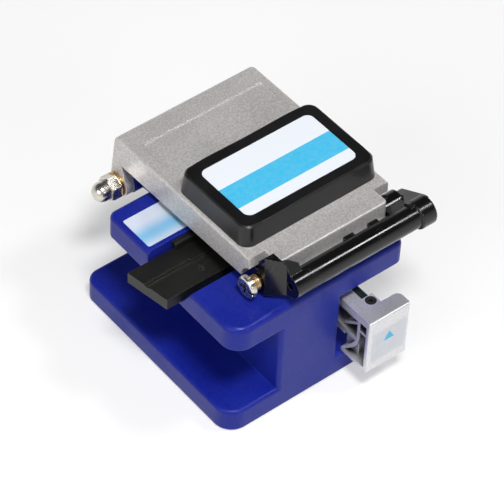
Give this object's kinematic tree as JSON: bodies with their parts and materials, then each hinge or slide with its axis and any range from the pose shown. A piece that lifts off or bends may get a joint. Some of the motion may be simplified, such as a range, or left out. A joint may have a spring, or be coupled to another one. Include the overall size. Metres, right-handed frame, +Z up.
{
  "type": "optical fibre cleaver",
  "caption": "Bench-top optical fibre cleaver: C-shaped body, hinged clamping lid with bail lever, and a blade wheel on a push slider.",
  "frame": {"origin": "centre of the flat underside, on the rubber sole", "axes": "+X along the fibre, from the loading side to the scrap side; +Y from the push block to the lid hinge; +Z up"},
  "size_m": [0.0771, 0.0873, 0.063],
  "materials": {
    "body_paint": "satin blue paint on a die casting, very fine orange peel",
    "cast_silver": "fine sand-textured satin silver casting",
    "black_plastic": "satin black moulded plastic",
    "black_anodised": "black anodised, worn to olive at the edges",
    "black_lever": "semi-gloss black",
    "steel": "turned steel",
    "nickel": "bright nickel plate",
    "brass": "brass-coloured plated spring wire",
    "spring_steel": "drawn spring wire",
    "rubber": "matte rubber",
    "carbide": "lapped hard metal",
    "dark_screw": "blackened steel",
    "green_plastic": "moulded plastic end cap"
  },
  "bodies": {
    "base": {"body_casting": "body_paint", "rubber_sole": "rubber", "linear_rail": "steel", "rail_screws": "dark_screw", "rail_stop_pins": "steel", "adapter_plate": "black_anodised", "adapter_screws": "nickel", "fibre_guide_rail": "black_anodised", "lower_clamp_left": "steel", "lower_pad_left": "rubber", "lower_clamp_right": "steel", "lower_pad_right": "rubber", "lid_magnet": "nickel"},
    "lid": {"lid_casting": "cast_silver", "lid_cap": "black_plastic", "hinge_pin": "steel", "hinge_washer": "brass", "hinge_nut": "nickel", "hinge_spring": "spring_steel", "striker_disc": "steel", "bail_screws": "nickel", "bail_spring": "brass", "clamp_springs_left": "spring_steel", "clamp_springs_right": "spring_steel", "anvil_spring": "spring_steel"},
    "bail": {"bail_lever": "black_lever"},
    "slider": {"slider_casting": "cast_silver", "push_block_screw": "dark_screw", "push_block_strip": "black_anodised", "rail_carriage": "steel", "carriage_end_caps": "green_plastic", "carriage_screws": "dark_screw", "blade_holder": "steel", "holder_screws": "nickel", "blade_axle": "nickel"},
    "blade": {"blade_wheel": "carbide"},
    "clamp_left": {"upper_clamp_left": "steel", "upper_pad_left": "rubber"},
    "clamp_right": {"upper_clamp_right": "steel", "upper_pad_right": "rubber"},
    "anvil": {"anvil": "steel"}
  },
  "joints": [
    {"name": "lid_hinge", "type": "hinge", "parent": "base", "child": "lid", "pos_m": [0, 0.0376, 0.0364], "axis": [-1, 0, 0], "range_deg": [0, 80]},
    {"name": "bail_pivot", "type": "hinge", "parent": "lid", "child": "bail", "pos_m": [0, -0.0245, 0.0475], "axis": [-1, 0, 0], "range_deg": [-20, 10]},
    {"name": "blade_slide", "type": "slide", "parent": "base", "child": "slider", "axis": [0, 1, 0], "range_m": [0, 0.024]},
    {"name": "blade_turn", "type": "hinge", "parent": "slider", "child": "blade", "pos_m": [0.015, -0.014, 0.03155], "axis": [1, 0, 0], "continuous": true},
    {"name": "clamp_left_lift", "type": "slide", "parent": "lid", "child": "clamp_left", "axis": [0, 0, 1], "range_m": [0, 0.0008], "stiffness_N_per_m": 600, "springref_m": -0.002, "deforming": ["clamp_springs_left"]},
    {"name": "clamp_right_lift", "type": "slide", "parent": "lid", "child": "clamp_right", "axis": [0, 0, 1], "range_m": [0, 0.0008], "stiffness_N_per_m": 600, "springref_m": -0.002, "deforming": ["clamp_springs_right"]},
    {"name": "anvil_lift", "type": "slide", "parent": "lid", "child": "anvil", "axis": [0, 0, 1], "range_m": [0, 0.0012], "stiffness_N_per_m": 300, "springref_m": -0.002, "deforming": ["anvil_spring"]}
  ]
}
